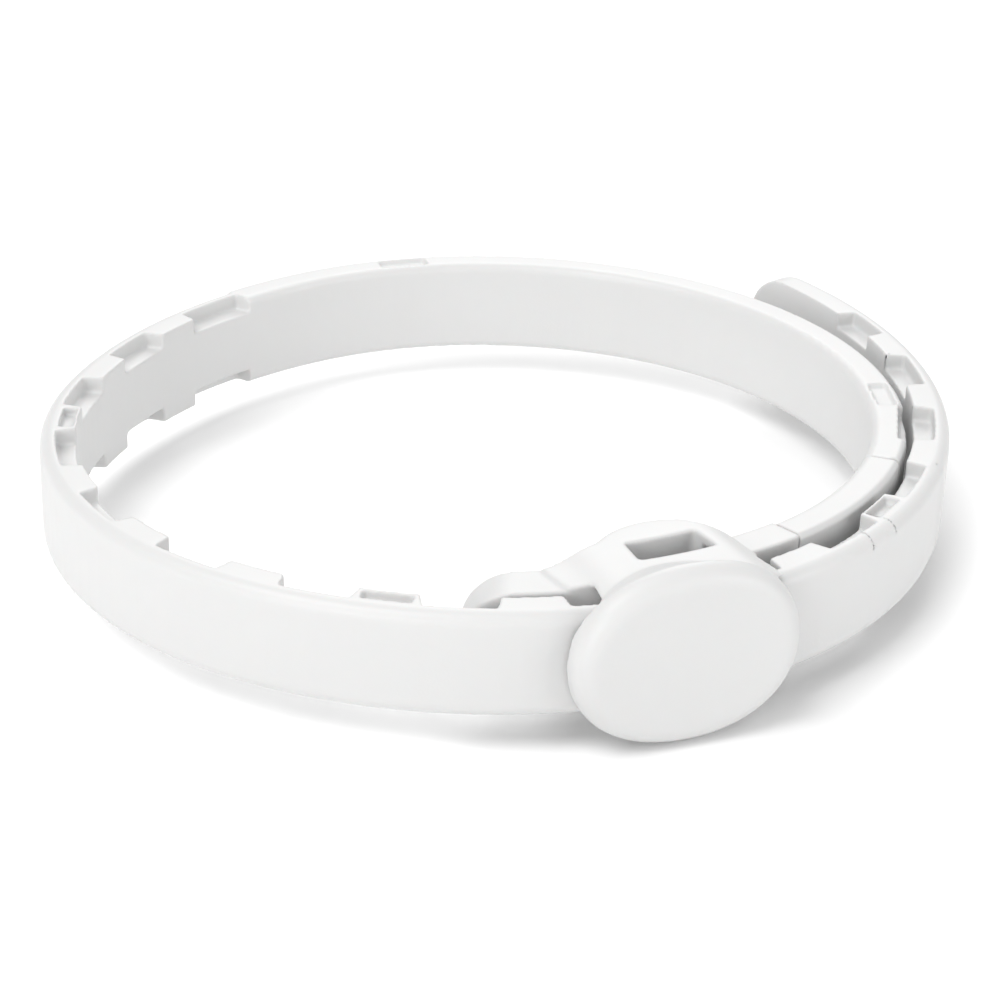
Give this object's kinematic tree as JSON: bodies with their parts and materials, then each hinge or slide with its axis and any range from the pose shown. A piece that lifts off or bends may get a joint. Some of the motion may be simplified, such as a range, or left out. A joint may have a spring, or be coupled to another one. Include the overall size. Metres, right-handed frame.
{
  "type": "esd wrist strap",
  "caption": "Adjustable plastic wrist strap: toothed band looped through a buckle head with a flat oval face.",
  "frame": {"origin": "middle of the whole outline in plan, at the height of the oval head's lowest point", "axes": "+Z along the wrist through the loop, -Y towards the side the buckle head is on, +X towards the free tail"},
  "size_m": [0.0622, 0.0618, 0.0119],
  "materials": {
    "strap_plastic": "satin",
    "buckle_plastic": "satin",
    "cover_plastic": "satin",
    "steel": "brushed",
    "tinned": "dull",
    "ceramic": "matt"
  },
  "bodies": {
    "strap": {"strap_band": "strap_plastic", "strap_splice": "strap_plastic", "buckle_cage": "buckle_plastic", "head_cover": "cover_plastic", "latch_spring": "steel", "skin_plate": "steel", "resistor_body": "ceramic", "resistor_cap_upper": "tinned", "resistor_cap_lower": "tinned", "ground_link": "tinned", "ground_socket": "steel", "pocket_lid": "buckle_plastic"},
    "latch": {"latch": "buckle_plastic"},
    "tail_1": {"tail_link_1": "strap_plastic"},
    "tail_2": {"tail_link_2": "strap_plastic"},
    "tail_3": {"tail_link_3": "strap_plastic"},
    "tail_4": {"tail_link_4": "strap_plastic"},
    "tail_5": {"tail_link_5": "strap_plastic"}
  },
  "joints": [
    {"name": "latch_release", "type": "slide", "parent": "strap", "child": "latch", "axis": [-0.4462, 0.8949, 0], "range_m": [0, 0.0013], "stiffness_N_per_m": 400, "deforming": ["latch_spring"]},
    {"name": "tail_bend_1", "type": "hinge", "parent": "strap", "child": "tail_1", "pos_m": [0.02316, -0.01816, 0.00574], "axis": [0, 0, -1], "range_deg": [0, 12], "stiffness_Nm_per_rad": 0.02},
    {"name": "tail_bend_2", "type": "hinge", "parent": "tail_1", "child": "tail_2", "pos_m": [0.02828, -0.00962, 0.00574], "axis": [0, 0, -1], "range_deg": [0, 12], "stiffness_Nm_per_rad": 0.02},
    {"name": "tail_bend_3", "type": "hinge", "parent": "tail_2", "child": "tail_3", "pos_m": [0.03081, 0.00008, 0.00574], "axis": [0, 0, -1], "range_deg": [0, 12], "stiffness_Nm_per_rad": 0.02},
    {"name": "tail_bend_4", "type": "hinge", "parent": "tail_3", "child": "tail_4", "pos_m": [0.03076, 0.01005, 0.00574], "axis": [0, 0, -1], "range_deg": [0, 12], "stiffness_Nm_per_rad": 0.02},
    {"name": "tail_bend_5", "type": "hinge", "parent": "tail_4", "child": "tail_5", "pos_m": [0.02835, 0.01916, 0.00574], "axis": [0, 0, -1], "range_deg": [0, 12], "stiffness_Nm_per_rad": 0.02}
  ],
  "couplings": [
    {"joint": "tail_bend_2", "follows": "tail_bend_1", "ratio": 1},
    {"joint": "tail_bend_3", "follows": "tail_bend_1", "ratio": 1},
    {"joint": "tail_bend_4", "follows": "tail_bend_1", "ratio": 1},
    {"joint": "tail_bend_5", "follows": "tail_bend_1", "ratio": 1}
  ]
}
